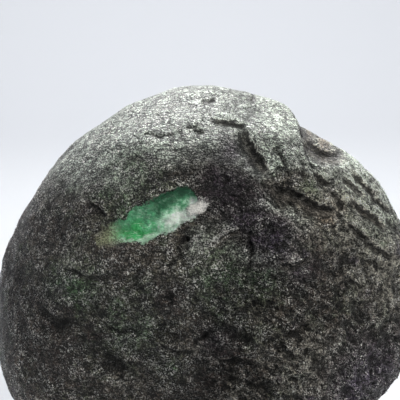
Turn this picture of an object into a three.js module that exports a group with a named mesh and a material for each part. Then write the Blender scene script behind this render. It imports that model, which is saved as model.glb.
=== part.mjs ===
import * as THREE from 'three';
import { ImprovedNoise } from 'three/addons/math/ImprovedNoise.js';
import { mergeVertices } from 'three/addons/utils/BufferGeometryUtils.js';

// A raw jadeite boulder, worn smooth on its left half and broken rough on its right.
// Millimetres, +Z up. The stone looks towards -Y and stands on a flat worn patch, with
// the origin on the ground under the middle of its box.

// Size of the stone's box
const WIDTH = 150;
const DEPTH = 104;
const HEIGHT = 138;

// Height of the stone's heart, the point that every face and hollow is placed from
const HEART_HEIGHT = 66;

// The surface has 20 * (FINENESS + 1)^2 triangles
const FINENESS = 19;

// How crisp the edges between neighbouring faces are: 2 would give a ball, 40 a cut gem
const CRISPNESS = 15;

// Broad worn faces. bearing is the compass bearing of the outward normal, in degrees from
// the front, with 90 to the right. rise is its angle above the horizon. reach is the
// distance of the face from the heart.
const FACES = [
  { bearing: 350, rise: -5, reach: 49 }, // broad front
  { bearing: 36, rise: 10, reach: 57.5 }, // broken front right
  { bearing: 355, rise: 28, reach: 54.5 }, // forehead
  { bearing: 10, rise: 58, reach: 65 }, // brow
  { bearing: 15, rise: 88, reach: 73 }, // crown
  { bearing: 318, rise: 12, reach: 63 },
  { bearing: 316, rise: 44, reach: 68 },
  { bearing: 52, rise: 40, reach: 67 },
  { bearing: 84, rise: 4, reach: 78 }, // right end
  { bearing: 88, rise: 24, reach: 81.5 },
  { bearing: 92, rise: 40, reach: 77.5 },
  { bearing: 92, rise: 54, reach: 74 }, // right shoulder
  { bearing: 80, rise: 70, reach: 81.5 },
  { bearing: 274, rise: 0, reach: 78 }, // left end
  { bearing: 272, rise: 24, reach: 75.5 },
  { bearing: 274, rise: 47, reach: 72.5 }, // left shoulder
  { bearing: 268, rise: 68, reach: 75 },
  { bearing: 128, rise: 4, reach: 65 },
  { bearing: 132, rise: 38, reach: 68 },
  { bearing: 176, rise: 4, reach: 51 }, // back
  { bearing: 184, rise: 46, reach: 63 },
  { bearing: 228, rise: -2, reach: 64 },
  { bearing: 230, rise: 38, reach: 67 },
  { bearing: 268, rise: -28, reach: 89 },
  { bearing: 262, rise: -54, reach: 88 },
  { bearing: 90, rise: -20, reach: 81.5 },
  { bearing: 92, rise: -47, reach: 74 }, // undercut at the lower right
  { bearing: 348, rise: -38, reach: 63 },
  { bearing: 44, rise: -40, reach: 68 },
  { bearing: 312, rise: -42, reach: 76 },
  { bearing: 138, rise: -40, reach: 70 },
  { bearing: 186, rise: -36, reach: 62 },
  { bearing: 228, rise: -44, reach: 73 },
  { bearing: 0, rise: -90, reach: 69 }, // underside
];

// The right shoulder is broken away in a step: a steep wall down from the crown, and a
// sloping floor that runs out to the right.
const STEP_WALL = { bearing: 96, rise: 18, reach: 49 };
const STEP_FLOOR = { bearing: 84, rise: 62, reach: 65.5 };

// Hollows, and swellings where the depth is negative. Each is an oval as long as length
// and as wide as width, turned by turn degrees from level.
const HOLLOWS = [
  { bearing: 39, rise: 40, length: 30, width: 12, turn: -28, depth: 3 }, // ledge under the brow
  { bearing: 30, rise: 56, length: 28, width: 11, turn: -73, depth: 2 }, // seam down from the crown
  { bearing: 15, rise: 29, length: 26, width: 11, turn: 90, depth: 2 }, // upright trough
  { bearing: 24, rise: 30, length: 18, width: 12, turn: 0, depth: 2 },
  { bearing: 354, rise: 38, length: 22, width: 11, turn: 62, depth: 1.5 },
  { bearing: 338, rise: 38, length: 46, width: 15, turn: 24, depth: 1.2 }, // bed of the green window
  { bearing: 76, rise: 50, length: 15, width: 10, turn: -15, depth: 2 }, // scoop below the step
  { bearing: 98, rise: 8, length: 40, width: 20, turn: -50, depth: 2.5 },
  { bearing: 130, rise: 50, length: 34, width: 18, turn: 20, depth: 2.5 },
  { bearing: 170, rise: 18, length: 60, width: 22, turn: 32, depth: 3 }, // long scar on the back
  { bearing: 208, rise: -14, length: 34, width: 22, turn: -20, depth: 2.5 },
  { bearing: 258, rise: 20, length: 44, width: 24, turn: 60, depth: 1.5 },
  { bearing: 150, rise: -8, length: 40, width: 26, turn: 70, depth: -1.5 }, // swelling
];

const heart = new THREE.Vector3(0, 0, HEART_HEIGHT);
const noise = new ImprovedNoise();

// Unit vector with a given compass bearing and rise, in degrees
function towards({ bearing, rise }) {
  const b = THREE.MathUtils.degToRad(bearing);
  const r = THREE.MathUtils.degToRad(rise);
  return new THREE.Vector3(Math.sin(b) * Math.cos(r), -Math.cos(b) * Math.cos(r), Math.sin(r));
}

for (const face of [...FACES, STEP_WALL, STEP_FLOOR]) {
  face.normal = towards(face);
}

// Distance from the heart to a flat face, along a unit direction
function faceRadius({ normal, reach }, direction) {
  const lean = normal.dot(direction);
  return lean > 0 ? reach / lean : Infinity;
}

// Distance from the heart to the surface before any hollows
function bodyRadius(direction) {
  let sum = 0;
  for (const face of FACES) {
    sum += faceRadius(face, direction) ** -CRISPNESS;
  }
  const rounded = sum ** (-1 / CRISPNESS);
  const step = Math.max(faceRadius(STEP_WALL, direction), faceRadius(STEP_FLOOR, direction));
  return Math.min(rounded, step);
}

// How deep the hollows are at a point given from the heart
function hollowDepth(point) {
  let depth = 0;
  for (const hollow of HOLLOWS) {
    const offset = point.clone().sub(hollow.centre);
    const along = offset.dot(hollow.along) / (hollow.length / 2);
    const across = offset.dot(hollow.across) / (hollow.width / 2);
    const outward = offset.dot(hollow.outward) / hollow.length;
    depth += hollow.depth * Math.exp(-(along ** 2) - across ** 2 - outward ** 2);
  }
  return depth;
}

for (const hollow of HOLLOWS) {
  hollow.outward = towards(hollow);
  hollow.centre = hollow.outward.clone().multiplyScalar(bodyRadius(hollow.outward));
  const level = new THREE.Vector3(0, 0, 1).cross(hollow.outward).normalize();
  hollow.along = level.applyAxisAngle(hollow.outward, THREE.MathUtils.degToRad(hollow.turn));
  hollow.across = hollow.outward.clone().cross(hollow.along);
}

// Gentle unevenness of the worn skin, in millimetres
function unevenness(point) {
  const broad = noise.noise(point.x / 34, point.y / 34, point.z / 34);
  const fine = noise.noise(point.x / 15 + 7, point.y / 15, point.z / 15);
  return 1.8 * broad + 0.7 * fine;
}

function makeBoulder() {
  const geometry = new THREE.IcosahedronGeometry(1, FINENESS);
  geometry.deleteAttribute('normal');
  geometry.deleteAttribute('uv');
  const surface = mergeVertices(geometry, 1e-5);
  const position = surface.attributes.position;
  const direction = new THREE.Vector3();
  const point = new THREE.Vector3();
  for (let i = 0; i < position.count; i++) {
    direction.fromBufferAttribute(position, i).normalize();
    point.copy(direction).multiplyScalar(bodyRadius(direction));
    const relief = unevenness(point) - hollowDepth(point);
    point.addScaledVector(direction, relief);
    const ground = direction.z < 0 ? -HEART_HEIGHT / direction.z : Infinity;
    point.clampLength(0, ground).add(heart);
    position.setXYZ(i, point.x, point.y, Math.max(0, point.z));
  }
  surface.computeBoundingBox();
  const size = surface.boundingBox.getSize(new THREE.Vector3());
  const centre = surface.boundingBox.getCenter(new THREE.Vector3());
  surface.translate(-centre.x, -centre.y, 0);
  surface.scale(WIDTH / size.x, DEPTH / size.y, HEIGHT / size.z);
  surface.computeVertexNormals();
  return surface;
}

const stone = new THREE.MeshStandardMaterial({ color: 0x3f433e, roughness: 0.75, metalness: 0 });
const boulder = new THREE.Mesh(makeBoulder(), stone);
boulder.name = 'boulder';

const part = new THREE.Group();
part.add(boulder);

export default part;
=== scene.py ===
# A raw jadeite boulder on a pale studio table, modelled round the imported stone.
import math
from functools import partial
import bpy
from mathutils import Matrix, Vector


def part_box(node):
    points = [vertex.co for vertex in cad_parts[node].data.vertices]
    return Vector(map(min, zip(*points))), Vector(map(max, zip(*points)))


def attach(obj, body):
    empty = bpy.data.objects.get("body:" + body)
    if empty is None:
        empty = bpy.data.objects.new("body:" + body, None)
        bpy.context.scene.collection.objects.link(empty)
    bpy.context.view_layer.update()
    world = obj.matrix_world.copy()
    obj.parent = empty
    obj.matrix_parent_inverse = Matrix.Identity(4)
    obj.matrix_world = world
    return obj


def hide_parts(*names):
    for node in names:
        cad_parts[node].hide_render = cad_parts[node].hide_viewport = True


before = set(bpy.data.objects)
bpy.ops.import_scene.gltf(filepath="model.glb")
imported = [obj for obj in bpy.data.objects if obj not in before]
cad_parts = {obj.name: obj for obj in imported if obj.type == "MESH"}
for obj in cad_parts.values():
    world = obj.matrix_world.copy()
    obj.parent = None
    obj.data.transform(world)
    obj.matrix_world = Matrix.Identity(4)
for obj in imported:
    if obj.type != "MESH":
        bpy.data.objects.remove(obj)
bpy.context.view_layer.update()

from types import SimpleNamespace

import bmesh
import bpy
import numpy as np
from bpy.props import FloatProperty, FloatVectorProperty, PointerProperty
from mathutils import Vector, noise
from mathutils.bvhtree import BVHTree

bl_info = {
    "name": "Raw Jade Boulder",
    "version": (1, 0, 0),
    "blender": (4, 5, 0),
    "location": "3D View > Sidebar > Jade Boulder",
    "description": "Carves the skin of a raw jade boulder and lights it on a pale table",
    "category": "Add Mesh",
}

MM = 0.001

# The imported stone's box, in millimetres, and a spot inside from which all its surface is in sight
LOWEST, HIGHEST = (np.array(corner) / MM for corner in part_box("boulder"))
HEART = np.array([0.0, 0.0, 0.48 * HIGHEST[2]])

# The way that the finest quads face, and how many times finer they are than if spread evenly
FINEST = Vector((0, -0.9, 0.44)).normalized()
GATHERING = 1.55

# The placed features are full up to 8 mm behind the middle, and gone 24 mm behind it
FRONT_FADE = (24, 8)

# Rounds of averaging that flatten the carved surface, from which hollows and rises are measured
FLATTENING = 14

# Places on the front are (x, z) in millimetres from the middle of the foot.
# Each crack is its path, its width and its depth.
CRACKS = (
    (((-7, 127.8), (-2.3, 127.8)), 0.4, 0.5),
    (((-5, 126.4), (-0.3, 126.4)), 0.4, 0.5),
    (((-26, 124.5), (-19, 125.2), (-13, 125), (-7.6, 125.6)), 0.45, 0.5),
    (((22.4, 121.4), (24.4, 120.3), (25.6, 118), (26.8, 113.8)), 0.8, 0.7),
    (((42, 100.8), (44.8, 98.2), (45.5, 95.4), (48.7, 91.8)), 0.8, 1.1),
    (((2, 103.8), (-2.3, 101.6), (-5.5, 99.2)), 0.7, 0.6),
    (((-4, 98), (-6.5, 94.8), (-8.6, 91), (-10, 87.3), (-11.8, 83.6)), 1.5, 1.3),
    (((11, 99.4), (13.2, 95), (14.1, 90.8), (13.7, 86.4), (13.4, 80)), 0.9, 0.9),
    (((-12.6, 78.2), (-12, 75), (-10.7, 71)), 1.2, 1.0),
    (((8, 71), (4, 66), (-3, 62), (-6, 56)), 0.9, 0.8),
    (((-35, 66), (-29, 62.5), (-24, 63.5), (-19, 61)), 0.9, 0.8),
    (((30, 42), (44, 48), (56, 56), (66, 65)), 0.7, 0.4),
)

# Each ledge is the path of its lip, how deep it cuts in below, how far down it runs out again,
# and how far its lip stands out.
LEDGES = (
    (((19, 113), (21.8, 111.2), (24.6, 109.4), (28.6, 108.7), (31.6, 107.2), (34, 105.5),
      (37, 103.6), (40, 102.4), (43, 101.6), (46, 98.5)), 2.1, 7.5, 1.0),
    (((12.4, 128), (14.6, 124), (17, 120.4), (19.4, 117), (21.4, 113.4)), 1.7, 5.0, 0.6),
    (((0.8, 130), (4.5, 129.4), (8, 129.1), (10.6, 128.7), (14, 128.2)), 1.1, 2.6, 0.4),
    (((-1.8, 135.2), (0.8, 134.7), (3.4, 135.2)), 0.5, 2.0, 0.2),
    (((14, 135.5), (16, 135.1), (17.6, 135.4)), 0.6, 1.8, 0.1),
    (((33.5, 123.2), (36, 121), (38.4, 119.4), (40.9, 118), (43.9, 117), (47, 116.3), (50, 114.6)),
     1.2, 4.6, 0.5),
    (((-20, 104.6), (-15.3, 107.7), (-11.4, 109.4), (-7, 110.9)), 1.3, 5.0, 0.6),
    (((36, 114), (38, 112.7), (40, 110.7), (42.5, 108.8)), 1.1, 3.0, 0.5),
    (((46, 110.8), (49.7, 108), (52.5, 105.3), (54.7, 103.1)), 1.1, 3.4, 0.5),
    (((49.5, 112), (54.8, 106.5), (60.4, 101.8)), 1.1, 3.0, 0.4),
    (((41, 108), (43.4, 105), (45.3, 102.4), (46.7, 99.5)), 1.1, 3.2, 0.5),
    (((47.4, 104.2), (51, 101.7), (53.5, 99.7), (56.5, 97.7), (59.5, 95), (62.6, 91.5)), 1.5, 3.6, 0.6),
    (((56, 103.5), (60.4, 100.6), (65.4, 95.8)), 1.2, 3.0, 0.4),
    (((46, 97), (50, 94.6), (54, 91.5), (57, 88)), 1.2, 3.2, 0.5),
    (((53, 90.2), (59.1, 86.3), (64.6, 82.4)), 1.1, 3.0, 0.4),
    (((47, 79), (49.8, 77.3), (52.4, 75.4)), 0.9, 2.6, 0.3),
    (((-39.5, 105.2), (-35.8, 103), (-31.8, 100.4)), 0.7, 3.2, 0.3),
    (((1, 93), (6, 96.6), (11, 97.8)), 1.4, 4.4, 0.5),
    (((23, 88), (28, 86.5), (33, 88.5)), 1.2, 4.4, 0.4),
    (((23, 64), (29, 65.8), (36, 66.4)), 1.0, 3.4, 0.4),
    (((-58, 70), (-50, 66), (-43, 66.5)), 0.5, 3.8, 0.2),
    (((-47, 84), (-40, 81.5), (-31, 82)), 0.4, 3.4, 0.2),
    (((2, 55), (10, 57), (18, 55)), 1.1, 4.0, 0.4),
    (((-16, 60), (-10, 57.5), (-3, 58)), 0.7, 3.6, 0.3),
)

# Each hollow is its middle, length, width, turn in degrees and depth.
HOLLOWS = (
    ((23.8, 120.4), 3.2, 1.8, -20, 1.2),
    ((25.6, 117.2), 4, 1.6, -60, 1.2),
    ((26.6, 113.4), 3.6, 1.8, -30, 1.1),
    ((42, 116), 10, 3.4, -20, 0.7),
    ((20.2, 95), 14, 10, 10, 1.5),
    ((8, 109), 12, 8, -30, 0.8),
    ((-12, 63), 12, 7, 10, 1.4),
    ((9.3, 64), 9, 6, -15, 1.2),
    ((-49, 62.7), 11, 6, 20, 1.1),
    ((-30, 50), 14, 7, -10, 1.2),
    ((28, 78), 12, 7, -30, 1.2),
    ((46, 84), 10, 6, 30, 1.2),
    ((-24, 80), 10, 5, 60, 0.9),
    ((34, 68), 14, 6, 20, 1.1),
)

# The edge of the step between the crown and the right shoulder, and the valley above the main ledge
STEP_EDGE = ((31.5, 127), (33, 122.5), (35, 116), (37, 110.5), (39.5, 105))
VALLEY = ((9, 127), (12.2, 123), (14.4, 119.6), (16.8, 116), (20, 112.6))

# The middle line of the green window, from its narrow end, and of the milky streak off its wide end
WINDOW = (
    (-37.2, 91.6), (-31.6, 94.2), (-26.7, 96.4), (-21.8, 98), (-16.9, 100.2), (-12, 102.7),
    (-7.2, 104.9), (-3, 107.4))
MILKY = ((-8, 101.4), (-6, 102.2), (-4, 103.1), (-1.2, 104.6), (2.2, 106.6))

# Each pale streak is its path and how far it spreads.
STREAKS = (
    (((0.4, 100), (-2.4, 96.5), (-4.6, 93.4), (-7.4, 90.9)), 1.6),
    (((-7.2, 92.4), (-6.8, 88.6), (-6.4, 86)), 1.1),
    (((-10.6, 94), (-12, 90.5), (-12.8, 87.6)), 1.2),
    (((-7.4, 86), (-4, 87.2), (-1.6, 88.6), (2, 91.4)), 1.1),
    (((-2, 90), (3.6, 94.6), (7, 97.6), (12, 100.6)), 2.6),
    (((-5, 82.6), (-2, 78.6)), 1.1),
    (((-18, 49), (-13, 50), (-9, 48)), 1.5),
)

# Tinted patches of the front: the middle, the reach and the strength of each.
PATCHES = {
    "purple": (
        ((8, 121), 6, 1.0), ((14, 118), 4, 0.8), ((7, 110), 8, 1.0), ((13, 102), 8, 0.9),
        ((20, 94), 8, 1.0), ((55, 43), 13, 1.0), ((3, 62), 5, 0.5), ((30, 84), 5, 0.5),
        ((33, 124), 3, 0.6)),
    "buff": (
        ((37, 122.5), 4, 1.0), ((42, 119), 4, 1.0), ((39.5, 99.5), 3.5, 0.9), ((32, 103), 4, 0.6),
        ((-9, 64), 4, 0.4), ((25, 104.5), 3, 0.6), ((50, 104), 6, 0.3), ((44, 103), 5, 0.5)),
    "green": (
        ((-43, 75), 9, 1.0), ((4, 83), 12, 1.0), ((18, 83), 7, 1.0), ((-26, 114), 14, 1.0),
        ((-26, 63), 11, 1.0), ((24, 122), 8, 0.6), ((-38, 58), 5, 0.7), ((-8, 106), 6, 0.6),
        ((-20, 77), 7, 0.5), ((12, 62), 6, 0.5), ((-12, 52), 6, 0.5), ((60, 92), 8, 0.5),
        ((34, 108), 4, 0.8)),
    "light": (
        ((52, 106), 18, 1.0), ((60, 84), 17, 1.0), ((46, 94), 9, 1.0), ((34, 98), 9, 0.8),
        ((-2, 90), 7, 0.6), ((26, 120), 11, 0.3), ((10, 44), 9, 0.6), ((-26, 63), 7, 0.4),
        ((-46, 88), 7, 0.4), ((-2, 58), 6, 0.4), ((-26, 112), 9, 0.4), ((32, 52), 14, 0.8),
        ((62, 70), 11, 0.8), ((-26, 48), 8, 0.4)),
    # Painted light: these spots lighten the crown and the right shoulder as the sheen from above would
    "painted_light": (((24, 131), 7, 0.9), ((52, 108), 9, 1.0), ((62, 100), 9, 0.7)),
    "dark": (
        ((7, 121), 9, 1.0), ((12, 127), 6, 0.7), ((8, 110), 9, 0.9), ((2, 46), 8, 0.9),
        ((18, 95), 7, 0.3), ((-38, 64), 7, 0.6), ((-12, 75), 5, 0.9), ((-52, 50), 10, 0.4),
        ((-40, 103), 5, 0.5), ((-39, 112), 6, 0.4), ((0, 66), 6, 0.5), ((-8, 95), 4, 0.5),
        ((-54, 66), 6, 0.4), ((-48, 66), 6, 0.9), ((11, 120), 4, 0.4), ((38, 80), 6, 0.4),
        ((-27, 48), 7, 0.4), ((31, 62), 8, 0.4), ((8, 58), 6, 0.8), ((-14, 79), 6, 0.5),
        ((-46, 60), 5, 0.5)),
}


def linear(code):
    """A colour such as '#5a6e4f', from sRGB to the linear values that shaders use."""
    parts = [int(code[i:i + 2], 16) / 255 for i in (1, 3, 5)]
    return tuple(c / 12.92 if c <= 0.04045 else ((c + 0.055) / 1.055) ** 2.4 for c in parts)


class BoulderShape(bpy.types.PropertyGroup):
    """Sizes of the stone's surface"""
    chip_length: FloatProperty(
        name="Chip length", description="Length of one broken shingle on the rough side",
        default=9 * MM, min=MM, unit="LENGTH")
    chip_width: FloatProperty(
        name="Chip width", description="Width of one broken shingle on the rough side",
        default=3.8 * MM, min=MM, unit="LENGTH")
    chip_step: FloatProperty(
        name="Chip step", description="Height of the step between two shingles",
        default=0.75 * MM, min=0, unit="LENGTH")
    window_width: FloatProperty(
        name="Window width", description="Widest part of the green window",
        default=10.8 * MM, min=MM, unit="LENGTH")
    grain_size: FloatProperty(
        name="Grain size", description="Width of one crystal of the rind",
        default=0.5 * MM, min=0.1 * MM, unit="LENGTH")
    grain_height: FloatProperty(
        name="Grain height", description="Depth of the grain, more than a real rind's so it shows",
        default=0.7 * MM, min=0, unit="LENGTH")


class BoulderColours(bpy.types.PropertyGroup):
    """Colours of the stone"""
    # The darkest rind, blended in by clouds and by the dark patches, which make parts of the front
    # darker
    dark: FloatVectorProperty(
        name="Dark rind", description="Rind in the hollows", subtype="COLOR",
        default=linear("#271a14"))
    brown: FloatVectorProperty(
        name="Brown rind", description="Worn rind, the commonest", subtype="COLOR",
        default=linear("#4c433a"))
    green: FloatVectorProperty(
        name="Green rind", description="Rind with jade close under it", subtype="COLOR",
        default=linear("#3e6039"))
    grey: FloatVectorProperty(
        name="Grey rind", description="Fresher, paler rind", subtype="COLOR",
        default=linear("#807d73"))
    buff: FloatVectorProperty(
        name="Buff stain", description="Clay-coloured stain", subtype="COLOR",
        default=linear("#8d7e6c"))
    # Earth stain under the ledges, made pale as painted light on the face that each lip shades
    soil_and_painted_light: FloatVectorProperty(
        name="Soil", description="Brown soil kept under the ledges", subtype="COLOR",
        default=linear("#9c958b"))
    # Painted light: a pale colour on upward-facing places and the placed spots, standing in for the
    # sheen from above
    painted_light: FloatVectorProperty(
        name="Bleached rind", description="Pale weathered skin on top", subtype="COLOR",
        default=linear("#b9c2b6"))
    straw: FloatVectorProperty(
        name="Straw rind", description="Thin yellowish skin at the window's narrow end",
        subtype="COLOR", default=linear("#d2cfa6"))
    purple: FloatVectorProperty(
        name="Purple tint", description="Lavender-black patches", subtype="COLOR",
        default=linear("#4a3f55"))
    # Milky stone, pale in itself and brightened further as painted light on the streak's face, which
    # faces the light
    milk: FloatVectorProperty(
        name="Milky stone", description="Pale streak off the window's wide end", subtype="COLOR",
        default=linear("#faf6ef"))
    # Also the colour of the painted highlights on the ridges and the ledge lips
    crystal: FloatVectorProperty(
        name="Crystal", description="Pale crystals in the grain", subtype="COLOR",
        default=linear("#f2f0ea"))
    emerald: FloatVectorProperty(
        name="Emerald jade", description="Strongest green of the window", subtype="COLOR",
        default=linear("#2aa553"))
    jade: FloatVectorProperty(
        name="Jade", description="Middle green of the window", subtype="COLOR",
        default=linear("#6abf8b"))
    # Painted shade: the deep green under the window's upper rim stands in for the rim's shadow
    shade: FloatVectorProperty(
        name="Deep jade", description="Dark green under the upper rim", subtype="COLOR",
        default=linear("#175235"))
    mint: FloatVectorProperty(
        name="Mint jade", description="Palest green of the window", subtype="COLOR",
        default=linear("#e4eee4"))


class Studio(bpy.types.PropertyGroup):
    """Camera, light and table"""
    lens: FloatProperty(
        name="Lens", description="Focal length of the camera", default=100, min=1, unit="CAMERA")
    distance: FloatProperty(
        name="Distance", description="From the camera to what it aims at", default=385 * MM,
        min=0.1, unit="LENGTH")
    rise: FloatProperty(
        name="Camera rise", description="Height of the view above the horizon",
        default=math.radians(12), subtype="ANGLE")
    key: FloatProperty(
        name="Key light", description="Power of the soft light above, in front and to the right",
        default=5.2, min=0, unit="POWER")
    rim: FloatProperty(
        name="Rim light", description="Power of the soft light above and behind", default=1.6,
        min=0, unit="POWER")
    backdrop: FloatProperty(
        name="Backdrop light", description="Power of the soft light on the backdrop", default=11.5,
        min=0, unit="POWER")
    sky: FloatProperty(
        name="Room light", description="Strength of the light all round", default=0.29, min=0)
    table: FloatVectorProperty(
        name="Table", description="Colour of the table and backdrop", subtype="COLOR",
        default=linear("#cccfd1"))


def smooth(low, high, value):
    """0 below low, 1 above high and a smooth rise between; low may be the larger."""
    share = np.clip((value - low) / (high - low), 0, 1)
    return share * share * (3 - 2 * share)


def bumps(place, width, octaves, shift):
    """Rolling noise at each place, about -1 to 1; width is one bump's, one number or three."""
    spots = place / np.array(width) + np.array((31.7, 17.3, 5.9)) * shift
    return np.array([noise.fractal(Vector(p), 1.0, 2.0, octaves) for p in spots])


def crests(place, width, octaves, shift):
    """Noise of sharp crests with rounded hollows between, about -1 to 1."""
    spots = place / np.array(width) + np.array((31.7, 17.3, 5.9)) * shift
    return np.array([
        noise.ridged_multi_fractal(Vector(p), 0.9, 2.0, octaves, 1.0, 2.0) for p in spots]) - 1.0


def laid(place):
    """Each place turned, so that its first axis runs down to the right across the front."""
    along = (place[:, 0] - place[:, 2]) / math.sqrt(2)
    across = (place[:, 0] + place[:, 2]) / math.sqrt(2)
    return np.stack((along, place[:, 1], across), axis=1)


def shingles(place, length, width, shift=0):
    """Steps of overlapping chips that run down to the right across the front, 0 to 1."""
    rise = (4 * bumps(laid(place), (length, 1.5 * width, width), 2, shift)) % 1.0
    return rise * smooth(1.0, 0.8, rise)


def beside(place, path):
    """Share of the way along a path, and millimetres above it, for each place on the front."""
    points = np.array(path, float)
    steps = np.diff(points, axis=0)
    lengths = np.hypot(steps[:, 0], steps[:, 1])
    begins = np.concatenate(([0], np.cumsum(lengths)))
    spot = place[:, (0, 2)]
    nearest = np.full(len(place), np.inf)
    share = np.zeros(len(place))
    above = np.zeros(len(place))
    for start, step, length, begin in zip(points, steps, lengths, begins):
        offset = spot - start
        along = np.clip(offset @ step / length ** 2, 0, 1)
        gap = offset - along[:, None] * step
        distance = np.hypot(gap[:, 0], gap[:, 1])
        side = np.sign(step[0] * gap[:, 1] - step[1] * gap[:, 0])
        closer = distance < nearest
        nearest = np.where(closer, distance, nearest)
        share = np.where(closer, (begin + along * length) / begins[-1], share)
        above = np.where(closer, distance * side, above)
    return share, above


def tapered(share, run):
    """1 along a path, falling to nothing over the given share of each end."""
    return smooth(0, run, share) * smooth(1, 1 - run, share)


def relaxed(values, edges, rounds):
    """Values averaged with those of their neighbours, a number of times."""
    both = np.concatenate((edges, edges[:, ::-1]))
    count = len(values)
    valence = np.bincount(both[:, 0], minlength=count)
    for _ in range(rounds):
        values = np.stack([
            np.bincount(both[:, 0], weights=column[both[:, 1]], minlength=count) / valence
            for column in values.T], axis=1)
    return values


def rows_of(items, name, columns, kind=np.float32):
    """A property of all the vertices, edges or corners of a mesh, one row for each."""
    values = np.empty(len(items) * columns, kind)
    items.foreach_get(name, values)
    return values.reshape(-1, columns)


def smooth_stone():
    """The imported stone's mesh, merged and subdivided to quads of 0.5 mm in front, 1.2 mm behind."""
    shape = bmesh.new()
    shape.from_mesh(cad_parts["boulder"].data)
    bmesh.ops.remove_doubles(shape, verts=shape.verts, dist=0.01 * MM)
    mesh = bpy.data.meshes.new("jade_boulder")
    shape.to_mesh(mesh)
    shape.free()
    rough_out = bpy.data.objects.new("rough_out", mesh)
    bpy.context.collection.objects.link(rough_out)
    rounding = rough_out.modifiers.new("Rounding", "SUBSURF")
    rounding.levels = rounding.render_levels = 2
    graph = bpy.context.evaluated_depsgraph_get()
    finished = bpy.data.meshes.new_from_object(rough_out.evaluated_get(graph))

    # The vertices are drawn over the surface towards the front, whose quads end up the finest
    surface = BVHTree.FromObject(rough_out, graph)
    heart = Vector(HEART * MM)
    for vertex in finished.vertices:
        ray = (vertex.co - heart).normalized()
        side = (ray - FINEST * ray.dot(FINEST)).normalized()
        turn = 2 * math.atan(math.tan(ray.angle(FINEST) / 2) / GATHERING)
        vertex.co = surface.ray_cast(heart, FINEST * math.cos(turn) + side * math.sin(turn))[0]
    finished.update()
    bpy.data.objects.remove(rough_out)
    bpy.data.meshes.remove(mesh)
    return finished


def window_place(place, width):
    """Millimetres inside the green window's edge, with each place along and across it."""
    share, above = beside(place, WINDOW)

    # The lens widens over the left half of its length, and rounds off at its right end
    half = width / 2 * np.clip(share / 0.5, 0, 1) ** 0.85
    half = half * np.sqrt(1 - smooth(0.86, 1.0, share) ** 2)
    past_ends = 40 * (smooth(0.02, 0.0, share) + smooth(0.98, 1.0, share))
    depth = half - np.abs(above) - past_ends
    return depth, share, np.clip(above / np.maximum(half, 1), -1.5, 1.5)


def broken_share(place, front):
    """1 where the stone is broken rough and 0 where it is worn smooth."""
    # In front the right side is broken, with an edge that wanders; elsewhere patches are
    drift = bumps(place, 26, 2, shift=3)
    right = smooth(-14, 26, place[:, 0] + 16 * drift)
    worn_crown = smooth(116, 128, place[:, 2])
    patches = smooth(-0.15, 0.3, bumps(place, 38, 2, shift=5))
    return right * (1 - 0.7 * worn_crown) * front + patches * (1 - front)


def cracks_cut(place, wander, uneven):
    """How far the cracks cut in, and how far each place is from the nearest one."""
    out = np.zeros(len(place))
    apart = np.full(len(place), 4.0)
    for path, width, depth in CRACKS:
        share, above = beside(place, path)
        run = tapered(share, 0.3)
        out -= depth * uneven * run * np.exp(-((above + wander) / width) ** 2)
        line = np.abs(above + wander) / (0.3 + 0.7 * width)
        apart = np.minimum(apart, line + 2.5 * (1 - run) + 0.25 * uneven)
    return out, apart


def ledges_cut(place, wander):
    """How far the ledges cut in and their lips stand out and drop, 1 round the ledges, where the
    stone is calmer, and the marks that they leave: the stained face under each lip, which the material
    also paints pale as painted light, millimetres above the nearest lip, where the material puts a
    painted highlight on the lip and a painted shadow line under it, and how strong that ledge is."""
    out, drop, calm, under, strength = np.zeros((5, len(place)))
    ledge = np.full(len(place), 5.0)
    nearest = np.full(len(place), 5.0)
    for path, depth, reach, lip in LEDGES:
        share, above = beside(place, path)
        above = above + 0.4 * wander
        run = tapered(share, 0.25)
        face = 0.17 * reach
        deep = min(1, depth / 1.5)
        out -= depth * run * smooth(0.2, -face, above) * smooth(-reach, -face, above)
        out += lip * run * np.exp(-((above - 1.5) / 1.8) ** 2)
        drop += 0.8 * lip * run * np.exp(-((above - 0.4) / 0.9) ** 2)
        shelter = smooth(0.5, -0.1, above) * smooth(-0.6 * reach, -0.3 * reach, above)
        under = np.maximum(under, run ** 0.5 * shelter * deep)
        near = run * np.exp(-((above + 0.5 * face) / (face + 1.2)) ** 2)
        calm = np.maximum(calm, near * deep)
        far = np.abs(above) + 4 * (1 - run)
        ledge = np.where(far < nearest, above, ledge)
        strength = np.where(far < nearest, run * min(1, 0.3 + depth / 2), strength)
        nearest = np.minimum(nearest, far)
    return out, drop, calm, {"under": under, "ledge": ledge, "ledge_strength": strength}


def hollows_cut(place, wander):
    """How far the hollows, the shoulder's step and the valley cut in."""
    out = np.zeros(len(place))
    for (x, z), length, width, turn, depth in HOLLOWS:
        dx, dz = place[:, 0] - x, place[:, 2] - z
        c, s = math.cos(math.radians(turn)), math.sin(math.radians(turn))
        along = (dx * c + dz * s + wander) / (length / 2)
        across = (dz * c - dx * s + wander) / (width / 2)
        out -= depth * np.exp(-(along ** 2 + across ** 2) ** 1.5)

    # A groove along the step's edge, with the shoulder lower than the crown beside it
    share, above = beside(place, STEP_EDGE)
    run = tapered(share, 0.2)
    out -= 0.7 * run * np.exp(-((above + wander) / 1.2) ** 2)
    out -= 1.0 * run * smooth(-0.5, 0.5, above) * smooth(11, 2, above)

    share, above = beside(place, VALLEY)
    out -= 1.4 * tapered(share, 0.3) * np.exp(-(above / 3.2) ** 2)
    return out


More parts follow.
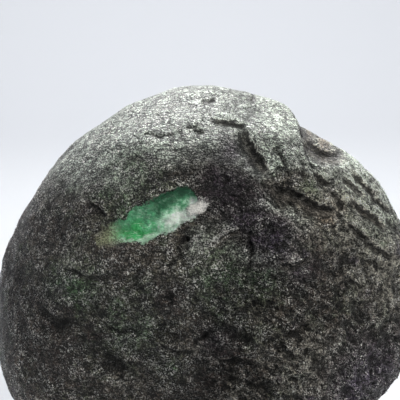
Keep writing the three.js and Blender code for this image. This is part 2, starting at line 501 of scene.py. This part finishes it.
def skin_relief(place, shape, broken, upward):
    """How far the worn swells, the broken chips and the finest bumps stand out."""
    length, width = shape.chip_length / MM, shape.chip_width / MM
    skin = 0.6 * bumps(place, 13, 2, shift=2)
    ridges = crests(laid(place), (9, 6, 5), 4, shift=4)
    skin += (0.3 + 0.7 * broken) * (1 - 0.7 * upward) * ridges
    chips = shingles(place, length, width) + 0.5 * shingles(place, 0.5 * length, 0.5 * width, 1)
    skin += shape.chip_step / MM * (0.15 + 0.85 * broken) * (1 - 0.5 * upward) * (chips - 0.5)
    return skin + (0.2 - 0.16 * upward) * bumps(place, 1.8, 2, shift=6)


def patch_tints(place, front):
    """How strong each tint's patches and the pale streaks are at each place."""
    tints = {"pale": np.zeros(len(place))}
    for path, reach in STREAKS:
        share, above = beside(place, path)
        streak = tapered(share, 0.25) * np.exp(-(above / reach) ** 2) * front
        tints["pale"] = np.maximum(tints["pale"], streak)
    for name, spots in PATCHES.items():
        tints[name] = np.zeros(len(place))
        for (x, z), reach, strength in spots:
            far = np.hypot(place[:, 0] - x, place[:, 2] - z) / reach
            tints[name] = np.maximum(tints[name], strength * np.exp(-far ** 2) * front)
    return tints


def carve(mesh, shape):
    """Moves the smooth stone's vertices into its ledges, cracks and chips, and marks the mesh for
    the material; gives the places of the vertices and the names of the marks."""
    place = rows_of(mesh.vertices, "co", 3).astype(float) / MM
    normal = rows_of(mesh.vertices, "normal", 3).astype(float)
    edges = rows_of(mesh.edges, "vertices", 2, np.int32)
    front = smooth(*FRONT_FADE, place[:, 1])

    # Millimetres inside the window, of which 6 are enough, and 1 in the milky streak
    window, along, across = window_place(place, shape.window_width / MM)
    window = np.where(front > 0.5, np.clip(window, -6, 6), -6)
    share, streak = beside(place, MILKY)
    milky = smooth(0.0, 0.3, share) * smooth(1, 0.5, share) * front
    milky *= smooth(3.2, 0.6, np.abs(streak) + 0.8 * bumps(place, 2.5, 2, shift=9))
    lens = smooth(-1.0, 1.0, window)

    wander = bumps(place, 3.5, 3, shift=1)
    uneven = np.clip(1 + 1.3 * bumps(place, 3.0, 2, shift=11), 0.2, 1.8)
    cracks, crack = cracks_cut(place, wander, uneven)
    ledges, drop, calm, marks = ledges_cut(place, wander)
    out = (cracks + ledges + hollows_cut(place, wander)) * front
    calm = calm * front

    broken = broken_share(place, front)
    # How far each place faces upwards, where the material lays painted light and calms the relief
    upward = smooth(0.42, 0.82, normal[:, 2] + 0.12 * bumps(place, 12, 2, shift=8))
    skin = skin_relief(place, shape, broken, upward)
    out += skin * (1 - 0.8 * np.maximum(lens, milky)) * (1 - 0.7 * calm)

    # The window is a shallow bowl, and the milky streak a face that leans back upwards
    bowl = np.clip(1 - across ** 2, 0, 1) * smooth(0.1, 0.5, along)
    out -= lens * (1 - milky) * (0.5 + 1.1 * bowl)
    out -= 0.3 * np.clip(streak, -3, 3) * milky

    # The foot stays flat, the lips of the ledges drop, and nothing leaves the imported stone's box
    foot = smooth(0.2, 4, place[:, 2])
    moved = place + normal * (out * foot)[:, None]
    moved[:, 2] -= drop * front
    moved = np.clip(moved, LOWEST, HIGHEST)
    flattened = relaxed(moved, edges, FLATTENING)
    # How far each place lies below the flattened surface, for the painted shade in the hollows and the
    # painted light on the rises
    hollow = np.clip(((flattened - moved) * normal).sum(1) / 0.5, -1, 1)
    mesh.vertices.foreach_set("co", (moved * MM).astype(np.float32).ravel())
    mesh.update()

    marks["under"] *= front
    marks["ledge_strength"] *= front
    marks |= patch_tints(place, front) | {
        "crack": crack + 4 * (1 - front), "milky": milky, "window": window, "window_along": along,
        "window_across": across, "broken": broken, "hollow": hollow, "upward": upward}
    for name, values in marks.items():
        layer = mesh.attributes.new(name, "FLOAT", "POINT")
        layer.data.foreach_set("value", values.astype(np.float32))
    return moved, list(marks)


def lay_out(mesh, place):
    """A UV map of six square charts, one for each way the surface faces from the heart."""
    corners = rows_of(mesh.loops, "vertex_index", 1, np.int32)[:, 0]
    sides = len(corners) // len(mesh.polygons)
    ray = (place - HEART)[corners].reshape(-1, sides, 3)
    middle = ray.mean(1)
    axis = np.abs(middle).argmax(1)
    positive = np.take_along_axis(middle, axis[:, None], 1)[:, 0] > 0
    spread = np.empty((len(ray), sides, 2))

    # Each chart is its axis, whether that points outwards, and the axes and signs of its u and v
    charts = (
        (0, True, (1, 2), (1, 1)), (0, False, (1, 2), (-1, 1)), (1, True, (0, 2), (-1, 1)),
        (1, False, (0, 2), (1, 1)), (2, True, (0, 1), (1, 1)), (2, False, (0, 1), (1, -1)))
    margin = 0.02
    for number, (main, way, others, signs) in enumerate(charts):
        chosen = (axis == main) & (positive == way)
        outwards = np.abs(ray[chosen][:, :, main])
        for k, cell, cells in ((0, number % 3, 3), (1, number // 3, 2)):
            turn = np.arctan2(ray[chosen][:, :, others[k]] * signs[k], outwards)
            share = turn / (np.pi / 2) + 0.5
            spread[chosen, :, k] = (cell + margin + share * (1 - 2 * margin)) / cells
    layer = mesh.uv_layers.new(name="OFBake")
    layer.uv.foreach_set("vector", spread.astype(np.float32).ravel())


# Short names for the nodes that the patterns use most: the kind and its settings
USUAL = {
    "plus": ("Math", {"operation": "ADD"}),
    "minus": ("Math", {"operation": "SUBTRACT"}),
    "times": ("Math", {"operation": "MULTIPLY"}),
    "times_plus": ("Math", {"operation": "MULTIPLY_ADD"}),
    "power": ("Math", {"operation": "POWER"}),
    "larger": ("Math", {"operation": "MAXIMUM"}),
    "smaller": ("Math", {"operation": "MINIMUM"}),
    "unsigned": ("Math", {"operation": "ABSOLUTE"}),
    "fraction": ("Math", {"operation": "FRACT"}),
    "ramp": ("MapRange", {"interpolation_type": "SMOOTHSTEP"}),
    "between": ("Mix", {}),
    "blend": ("Mix", {"data_type": "RGBA"}),
    "tinted": ("Mix", {"data_type": "RGBA", "blend_type": "MULTIPLY"}),
}


def add(tree, kind, *values, named=None, out=None, **settings):
    """Adds a node with its settings, and gives its open sockets in turn, and the named ones, numbers
    or other nodes' outputs. Hands back its first open output, or the one that out names."""
    kind, usual = USUAL.get(kind, (kind, {}))
    node = tree.nodes.new("ShaderNode" + kind)
    for name, setting in (usual | settings).items():
        setattr(node, name, setting)
    given = list(zip([socket for socket in node.inputs if socket.enabled], values))
    given += [(node.inputs[name], value) for name, value in (named or {}).items()]
    for socket, value in given:
        if isinstance(value, bpy.types.NodeSocket):
            tree.links.new(value, socket)
        else:
            socket.default_value = value
    return node.outputs[out] if out else next((one for one in node.outputs if one.enabled), None)


def opaque(colour):
    """A colour with full alpha."""
    return (*colour, 1.0)


def clouds(node, at, size, detail, shift, low, high):
    """Clouds about as wide as the given millimetres, 0 where their noise is at low, 1 at high. A
    shift of its own keeps each pattern unlike the others."""
    moved = node("VectorMath", at, (shift, shift, shift))
    noise_level = node("TexNoise", named={
        "Vector": moved, "Scale": 1 / size, "Detail": detail, "Roughness": 0.6})
    return node("ramp", noise_level, low, high)


def bent(node, at, reach, size):
    """The place pushed about by up to the given millimetres, which breaks up straight lines."""
    push = node("TexNoise", named={"Vector": at, "Scale": 1 / size, "Detail": 3.0}, out="Color")
    centred = node("VectorMath", push, (0.5, 0.5, 0.5), operation="SUBTRACT")
    return node("VectorMath", centred, (2 * reach,) * 3, at, operation="MULTIPLY_ADD")


def creases(node, place, at, size, width, shift):
    """Thin creases that wander, strong in some places and faint in others."""
    middle = node("unsigned", node("minus", clouds(node, at, size, 3, shift, 0.0, 1.0), 0.5))
    strength = clouds(node, place, 2 * size, 2, shift + 3, 0.35, 0.6)
    return node("times", node("ramp", middle, width, 0.0), strength)


def rind_patterns(node, place, marks, grain):
    """The patterns that the rind's colour and relief share, each from 0 to 1. Sizes are in mm."""
    broken = marks["broken"]

    # Crystals of the set size, within the 0.4 to 1 of real rind, each with its own tone, and
    # blotches three times as wide
    fine = clouds(node, place, grain, 2, 10, 0.36, 0.64)
    blotch = clouds(node, place, 3 * grain, 3, 20, 0.34, 0.66)
    cells = node("TexVoronoi", bent(node, place, 0.3, grain), 1 / grain, out="Color")
    tone = node("SeparateColor", cells)

    # Places turned and squeezed, for patterns that run down to the right, up to the right and level
    turned, rising, level = (
        node("Mapping", named={
            "Vector": place, "Rotation": (0, math.radians(turn), 0), "Scale": (squeeze, 1, 1)})
        for turn, squeeze in ((45, 0.4), (-50, 0.25), (15, 0.5)))

    # Chips overlap down to the right, each rising to a step, mostly on the broken side; the colour
    # brightens as painted light up each chip and darkens as painted shade at the foot of its step
    chips = node("fraction", node("times", clouds(node, turned, 4, 3, 5, 0.2, 0.8), 5.0))
    chips = node("times", node("times", chips, node("ramp", chips, 1.0, 0.75)),
                 node("times_plus", broken, 0.85, 0.15))
    steps = node("times", broken, node("times", node("ramp", chips, 0.3, 0.0), 0.5))

    # Ridges stand out between the crystals, and pits lie level, or along the chips where broken;
    # the colour has painted highlights on the ridges and painted shade in the pits
    ridges = node("larger", creases(node, place, place, 1.4, 0.1, 41),
                  creases(node, place, turned, 1.1, 0.1, 45))
    weaker = node("times", creases(node, place, place, 0.8, 0.12, 47), 0.6)
    ridges = node("larger", ridges, weaker)
    pits = node("between", broken, clouds(node, level, 1.5, 3, 91, 0.46, 0.34),
                clouds(node, turned, 1.6, 3, 95, 0.48, 0.36))

    # Gaps are creases, hair cracks 0.35 wide round cells of 7, and the placed cracks; they darken
    # partly as dark cracks and partly as painted shade in the creases
    gaps = node("larger", creases(node, place, place, 3, 0.09, 51),
                creases(node, place, turned, 1.6, 0.1, 55))
    hairs = node("TexVoronoi", bent(node, place, 2.5, 5), 1 / 7, feature="DISTANCE_TO_EDGE")
    hairs = node("times", node("ramp", hairs, 0.35 / 7, 0.0), clouds(node, place, 9, 2, 33, 0.5, 0.62))
    crack = node("ramp", node("times_plus", fine, 0.4, marks["crack"]), 1.1, 0.3)
    gaps = node("larger", node("larger", gaps, hairs), crack)

    # Each ledge's lip gets a painted highlight and a rise in the relief, with a black painted shadow
    # line under it that also sinks into the relief
    wander = node("times_plus", clouds(node, place, 1.6, 4, 71, 0.2, 0.8), 1.6, -0.8)
    above = node("plus", marks["ledge"], wander)
    gap = node("ramp", node("unsigned", node("plus", above, 0.4)), 0.7, 0.3)
    gap = node("times", gap, marks["ledge_strength"])
    lip = node("times", node("ramp", above, 0.0, 0.2), node("ramp", above, 1.1, 0.5))
    lip = node("times", lip, marks["ledge_strength"])

    # Pale streaks break up into the finest grain
    pale = node("times", marks["pale"], clouds(node, rising, 1.2, 3, 65, 0.35, 0.6))
    pale = node("ramp", node("times_plus", pale, 0.7, node("times", fine, 0.7)), 0.85, 1.15)
    return SimpleNamespace(
        fine=fine, blotch=blotch, tone=tone, turned=turned, chips=chips, steps=steps, ridges=ridges,
        pits=pits, gap=gap, gaps=node("larger", gaps, gap), lip=lip, pale=pale)


def rind_relief(node, marks, rind):
    """How far the rind stands out, as a share of the grain height."""
    worn = node("larger", marks["upward"], marks["buff"])
    rough = node("times", node("times_plus", marks["broken"], 0.6, 0.6),
                 node("times_plus", worn, -0.75, 1.0))
    height = node("times_plus", rind.blotch, 0.9, node("times_plus", rind.ridges, 0.7, rind.fine))
    height = node("times", node("times_plus", rind.pits, -1.1, height), rough)
    for pattern, strength in ((rind.chips, 1.5), (rind.gaps, -1.4), (rind.lip, 1.0)):
        height = node("times_plus", pattern, strength, height)
    return height


def rind_tints(node, place, marks, rind, colours):
    """Brown rind with green, grey, purple and buff patches over dark stone, and painted light on
    upward-facing places and placed spots, a pale colour that stands in for the sheen from above. Gives
    the colour and how far the painted light covers it."""
    tint = opaque(colours.brown)
    for name, colour, size, shift, low, most in (
            ("green", colours.green, 8, 120, 0.52, 0.35), ("light", colours.grey, 12, 150, 0.6, 0.5),
            ("purple", colours.purple, 10, 80, 0.6, 0.6), ("buff", colours.buff, 8, 40, 0.66, 0.3)):
        placed = node("times", marks[name], clouds(node, place, 3, 3, shift + 7, 0.2, 0.5))
        share = node("times_plus", clouds(node, place, size, 3, shift, low, low + 0.12), most, placed)
        tint = node("blend", node("smaller", share, 1.0), tint, opaque(colour))
    depth = node("times", clouds(node, place, 4, 4, 0, 0.3, 0.7), 0.7)
    depth = node("times_plus", clouds(node, place, 14, 3, 3, 0.3, 0.7), 0.5, depth)
    depth = node("plus", node("times_plus", marks["light"], 0.6, depth),
                 node("times", marks["dark"], -0.9))
    depth = node("smaller", node("larger", depth, 0.0), 1.0)
    tint = node("blend", depth, opaque(colours.dark), tint)
    tint = node("blend", node("times", marks["purple"], 0.4), tint, opaque(colours.purple))
    # Painted light: upward-facing places and the placed spots turn pale, as the sheen from above would
    # make them, except where purple or buff stains them
    stained = node("larger", marks["purple"], marks["buff"])
    top = node("times", node("larger", marks["upward"], marks["painted_light"]),
               node("times_plus", stained, -0.95, 1.0))
    painted_light_share = node("times", top, node("times_plus", rind.fine, 0.2, 0.75))
    return node("blend", painted_light_share, tint, opaque(colours.painted_light)), top


def crystals(node, place, marks, rind, colours, tint, top):
    """The rind's colour with each crystal's own brightness, painted shade in the pits, earth stains
    under the ledges painted pale as light on the shaded face under each lip, a few pale crystals with
    painted highlights on the ridges and ledge lips, painted shade in the hollows with painted light on
    the rises, and the pale streaks."""
    under = marks["under"]

    # The swing doubles the brightness for each 1 above 0, and halves it for each 1 below
    calm = node("larger", top, marks["buff"])
    swing = node("times_plus", rind.fine, 2.6, node("times_plus", rind.tone, 1.8, -2.6))
    swing = node("times", swing, node("times_plus", calm, -0.3, 1.0))
    coarse = node("times_plus", rind.blotch, 1.5, node("times", rind.pits, -2.3))
    swing = node("times_plus", coarse, node("times_plus", calm, -0.8, 1.0), swing)
    # Painted light on the chip tops, the ledge lips and the painted-light spots, and painted shade at
    # the foot of each chip's step and in the creases and ledge gaps; the light patches are paler rind
    # and the cracks are dark in themselves
    for pattern, strength in (
            (marks["painted_light"], 0.9), (rind.chips, 0.8), (rind.lip, 1.3), (marks["light"], 0.55),
            (rind.gaps, -3.0), (rind.steps, -1.5)):
        swing = node("times_plus", pattern, strength, swing)
    swing = node("times", swing, node("times_plus", under, -0.5, 1.0))
    # Earth stains the face under each lip, its pale colour also painted light on that shaded face, less
    # of it in the purple and dark patches
    soiled = node("times_plus", node("larger", marks["purple"], marks["dark"]), -0.8, 0.9)
    tint = node("blend", node("times", under, soiled), tint, opaque(colours.soil_and_painted_light))
    tint = node("tinted", 1.0, tint, node("power", 2.0, node("smaller", swing, 1.2)))

    # Pale crystals lie where the tone is highest, with painted highlights on the ridges and ledge lips,
    # more in some places than in others
    crystal_and_highlight = node("larger", node("times", rind.ridges, 0.7), node("ramp", rind.tone, 0.84, 0.92))
    crystal_and_highlight = node("times", node("times", crystal_and_highlight, node("ramp", rind.fine, 0.45, 0.75)),
                 node("minus", 1.0, rind.pits))
    most = node("times_plus", clouds(node, place, 5, 3, 60, 0.42, 0.6), 0.9, 0.35)
    most = node("times", most, node("times_plus", marks["dark"], -0.7, 1.0))
    most = node("times", most, node("times_plus", under, -0.8, 1.0))
    crystal_and_highlight = node("times", crystal_and_highlight, node("times_plus", rind.lip, 0.5, most))
    tint = node("blend", crystal_and_highlight, tint, opaque(colours.crystal))

    # Painted shade in the hollows and painted light on the rises, kept light under the ledges, with the
    # painted shadow line under each lip
    shade = node("ramp", marks["hollow"], -0.8, 0.8, 1.7, 0.3)
    shade = node("larger", shade, node("times", under, 0.8))
    shade = node("times", shade, node("times_plus", rind.gap, -0.55, 1.0))
    return node("blend", rind.pale, node("tinted", 1.0, tint, shade), opaque(colours.crystal))


def jade_tints(node, place, marks, rind, colours):
    """Emerald in the lower left of the lens, painted shade in deep green under the upper rim, milky to
    the lower right, with cotton veins and clouds."""
    wobble = node("times_plus", clouds(node, place, 3.5, 3, 200, 0.25, 0.75), 0.24, -0.12)
    along = node("plus", marks["window_along"], wobble)
    across = node("times_plus", wobble, 3.0, marks["window_across"])
    cloud = clouds(node, place, 2.5, 4, 220, 0.3, 0.7)

    core = node("ramp", node("unsigned", node("minus", along, 0.36)), 0.22, 0.03)
    core = node("times", core, node("ramp", across, 0.8, -0.1))
    core = node("times", core, node("times_plus", cloud, -0.3, 1.0))
    jade = node("blend", core, opaque(colours.jade), opaque(colours.emerald))
    # Painted shade: deep green where the upper rim would shade the window, with fewer veins there
    rim = node("times", node("ramp", across, -0.15, 0.6), node("ramp", along, 0.35, 0.75, 0.4, 1.0))
    jade = node("blend", node("times", rim, 0.9), jade, opaque(colours.shade))
    milk = node("times", node("ramp", across, 0.3, -0.4), node("ramp", along, 0.5, 0.75))
    low_rim = node("times", node("ramp", across, -0.6, -1.0), 0.5)
    jade = node("blend", node("larger", milk, low_rim), jade, opaque(colours.mint))

    vein = node("unsigned", node("minus", clouds(node, rind.turned, 3, 3, 240, 0.0, 1.0), 0.5))
    vein = node("times", node("ramp", vein, 0.06, 0.0), node("times_plus", rim, -0.8, 1.0))
    vein = node("times", vein, node("times_plus", cloud, 0.4, 0.05))
    jade = node("blend", vein, jade, opaque(colours.mint))
    return node("tinted", 1.0, jade, node("times_plus", cloud, 0.7, 0.65))


def window_edge(node, place, marks, fine):
    """How far each place lies in the window, whose edge is ragged and whose narrow end fades out,
    and how far it lies in that end."""
    ragged = node("times_plus", clouds(node, place, 3, 4, 300, 0.2, 0.8), 2.6, -1.3)
    ragged = node("times_plus", fine, 0.6, ragged)
    narrow = node("ramp", node("times_plus", fine, 0.08, marks["window_along"]), 0.36, 0.14)
    soft = node("times_plus", narrow, 1.6, 0.5)
    inside = node("times_plus", ragged, node("times_plus", narrow, -0.6, 1.0), marks["window"])
    return node("ramp", inside, node("times", soft, -1.0), soft), narrow


def rind_and_jade(colours, shape, names):
    """Water-worn and broken jadeite rind, with a window rubbed through to the jade."""
    # The rind is a dull, sandy skin whose half-millimetre crystals glint here and there, and the
    # window is smooth and waxy, a green that the light sinks into
    material = bpy.data.materials.new("jadeite_rind_and_rubbed_window")
    material.use_nodes = True
    material.node_tree.nodes.clear()
    node = partial(add, material.node_tree)
    place = node("VectorMath", node("TexCoord", out="Object"), 1 / MM, operation="SCALE")
    marks = {name: node("Attribute", attribute_name=name, out="Fac") for name in names}

    rind = rind_patterns(node, place, marks, shape.grain_size / MM)
    tint, top = rind_tints(node, place, marks, rind, colours)
    tint = crystals(node, place, marks, rind, colours, tint, top)

    # The milky streak is speckled, and breaks up into grain at its edges; its pale colour is brightened
    # further as painted light
    speckle = node("plus", rind.fine, clouds(node, place, 1.4, 3, 81, 0.3, 0.7))
    milky = node("times", marks["milky"], node("times_plus", speckle, 0.45, 0.5))
    milky = node("ramp", milky, 0.2, 0.65)
    milk = node("tinted", 1.0, opaque(colours.milk), node("times_plus", rind.fine, 0.3, 0.8))
    tint = node("blend", milky, tint, milk)

    # The window's narrow end keeps a straw-coloured skin over the jade
    window, narrow = window_edge(node, place, marks, rind.fine)
    jade = jade_tints(node, place, marks, rind, colours)
    skin = node("tinted", 1.0, opaque(colours.straw), node("times_plus", rind.fine, 1.0, 0.3))
    jade = node("blend", node("times", narrow, 0.9), jade, skin)
    shown = node("times", window, node("times_plus", milky, -0.9, 1.0))
    tint = node("blend", shown, tint, jade)

    # Bare jade is smooth and lets light in, and the rest is rough; 1.66 is the IOR of jadeite
    bare = node("times", window, node("minus", 1.0, narrow))
    bare = node("times", bare, node("minus", 1.0, milky))
    dull = node("times_plus", rind.tone, -0.25, 0.6)
    flatness = node("times_plus", node("larger", bare, milky), -0.85, 1.0)
    bump = node("Bump", named={
        "Height": node("times", rind_relief(node, marks, rind), flatness),
        "Distance": shape.grain_height, "Strength": 1.0})
    shader = node("BsdfPrincipled", named={
        "Base Color": tint, "Roughness": node("between", bare, dull, 0.35), "Normal": bump,
        "IOR": 1.66, "Specular IOR Level": 0.3, "Subsurface Weight": node("times", bare, 0.3),
        "Subsurface Radius": (0.4, 1.0, 0.5), "Subsurface Scale": 1.2 * MM})
    node("OutputMaterial", shader)
    return material


class JADE_OT_boulder(bpy.types.Operator):
    """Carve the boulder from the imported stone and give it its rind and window"""
    bl_idname = "jade.boulder"
    bl_label = "Carve Boulder"

    def execute(self, context):
        shape = context.scene.jade_shape
        mesh = smooth_stone()
        place, marks = carve(mesh, shape)
        lay_out(mesh, place)
        mesh.materials.clear()
        mesh.materials.append(rind_and_jade(context.scene.jade_colours, shape, marks))
        mesh.polygons.foreach_set("use_smooth", [True] * len(mesh.polygons))
        stone = bpy.data.objects.new("jade_boulder", mesh)
        context.collection.objects.link(stone)
        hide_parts("boulder")
        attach(stone, "root")
        return {"FINISHED"}


def white_card(colour):
    """Matt white card, pressed smooth: even and dull, faintly cool, without grain."""
    material = bpy.data.materials.new("matt_white_card")
    material.use_nodes = True
    shader = material.node_tree.nodes["Principled BSDF"]
    shader.inputs["Base Color"].default_value = opaque(colour)
    shader.inputs["Roughness"].default_value = 0.9
    return material


def table_mesh(reach, bend, steps=16, sides=96):
    """A round table, flat for the reach, whose rim then curves up by the bend in a quarter turn."""
    shape = bmesh.new()
    profile = [shape.verts.new((0, 0, 0)), shape.verts.new((reach, 0, 0))]
    for i in range(1, steps + 1):
        turn = math.radians(90) * i / steps
        profile.append(shape.verts.new(
            (reach + bend * math.sin(turn), 0, bend * (1 - math.cos(turn)))))
    rim = [shape.edges.new(pair) for pair in zip(profile, profile[1:])]
    bmesh.ops.spin(
        shape, geom=profile + rim, cent=(0, 0, 0), axis=(0, 0, 1), angle=math.tau, steps=sides,
        use_merge=True)
    bmesh.ops.remove_doubles(shape, verts=shape.verts, dist=MM)
    bmesh.ops.recalc_face_normals(shape, faces=shape.faces)
    mesh = bpy.data.meshes.new("table")
    shape.to_mesh(mesh)
    shape.free()
    mesh.polygons.foreach_set("use_smooth", [True] * len(mesh.polygons))
    return mesh


class JADE_OT_studio(bpy.types.Operator):
    """Set up the pale table, the soft lights and the camera"""
    bl_idname = "jade.studio"
    bl_label = "Set Up Studio"

    def execute(self, context):
        scene = context.scene
        studio = scene.jade_studio

        # The rim curves up all round, so that no view meets an edge
        mesh = table_mesh(reach=0.85, bend=0.9)
        mesh.materials.append(white_card(studio.table))
        table = bpy.data.objects.new("table", mesh)
        context.collection.objects.link(table)

        world = bpy.data.worlds.new("room")
        world.use_nodes = True
        sky = world.node_tree.nodes["Background"]
        sky.inputs["Color"].default_value = opaque(linear("#e4e8f0"))
        sky.inputs["Strength"].default_value = studio.sky
        scene.world = world

        # Each lamp's power, colour, size, spread in degrees, place and what it points at
        stone, wall = (0, 0, 0.1), (0, 1.25, 0.05)
        for name, power, colour, size, spread, spot, target in (
                ("key", studio.key, "#fffdf6", 0.3, 180, (0.5, -0.35, 0.8), stone),
                ("rim", studio.rim, "#ffffff", 0.6, 36, (-0.12, 1.2, 1.1), stone),
                ("backdrop", studio.backdrop, "#fbfaff", 0.8, 150, (0, 0.6, 1.15), wall)):
            lamp = bpy.data.lights.new(name, "AREA")
            lamp.energy = power
            lamp.color = linear(colour)
            lamp.size = size
            lamp.spread = math.radians(spread)
            holder = bpy.data.objects.new(name, lamp)
            holder.location = spot
            holder.rotation_euler = (Vector(target) - Vector(spot)).to_track_quat("-Z", "Y").to_euler()
            holder.visible_camera = False
            context.collection.objects.link(holder)

        # The camera aims at a spot inside the stone, level with the window
        lens = bpy.data.cameras.new("camera")
        lens.lens = studio.lens
        lens.clip_start = 0.01
        camera = bpy.data.objects.new("camera", lens)
        aim = Vector((-2.3, -15, 101)) * MM
        back = Vector((0, -math.cos(studio.rise), math.sin(studio.rise)))
        camera.location = aim + back * studio.distance
        camera.rotation_euler = (-back).to_track_quat("-Z", "Y").to_euler()
        context.collection.objects.link(camera)
        scene.camera = camera
        scene.view_settings.view_transform = "Standard"
        return {"FINISHED"}


class JADE_PT_panel(bpy.types.Panel):
    """Lists what the add-on makes, with its sizes and colours"""
    bl_idname = "JADE_PT_panel"
    bl_label = "Jade Boulder"
    bl_space_type = "VIEW_3D"
    bl_region_type = "UI"
    bl_category = "Jade Boulder"

    def draw(self, context):
        layout = self.layout
        scene = context.scene
        layout.operator(JADE_OT_studio.bl_idname)
        for name in Studio.__annotations__:
            layout.prop(scene.jade_studio, name)
        layout.operator(JADE_OT_boulder.bl_idname)
        for name in BoulderShape.__annotations__:
            layout.prop(scene.jade_shape, name)
        for name in BoulderColours.__annotations__:
            layout.prop(scene.jade_colours, name)


CLASSES = (BoulderShape, BoulderColours, Studio, JADE_OT_boulder, JADE_OT_studio, JADE_PT_panel)


def register():
    for item in CLASSES:
        bpy.utils.register_class(item)
    bpy.types.Scene.jade_shape = PointerProperty(type=BoulderShape)
    bpy.types.Scene.jade_colours = PointerProperty(type=BoulderColours)
    bpy.types.Scene.jade_studio = PointerProperty(type=Studio)


def unregister():
    del bpy.types.Scene.jade_studio
    del bpy.types.Scene.jade_colours
    del bpy.types.Scene.jade_shape
    for item in reversed(CLASSES):
        bpy.utils.unregister_class(item)


def main():
    register()
    bpy.ops.jade.studio()
    bpy.ops.jade.boulder()
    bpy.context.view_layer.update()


if __name__ == "__main__":
    main()
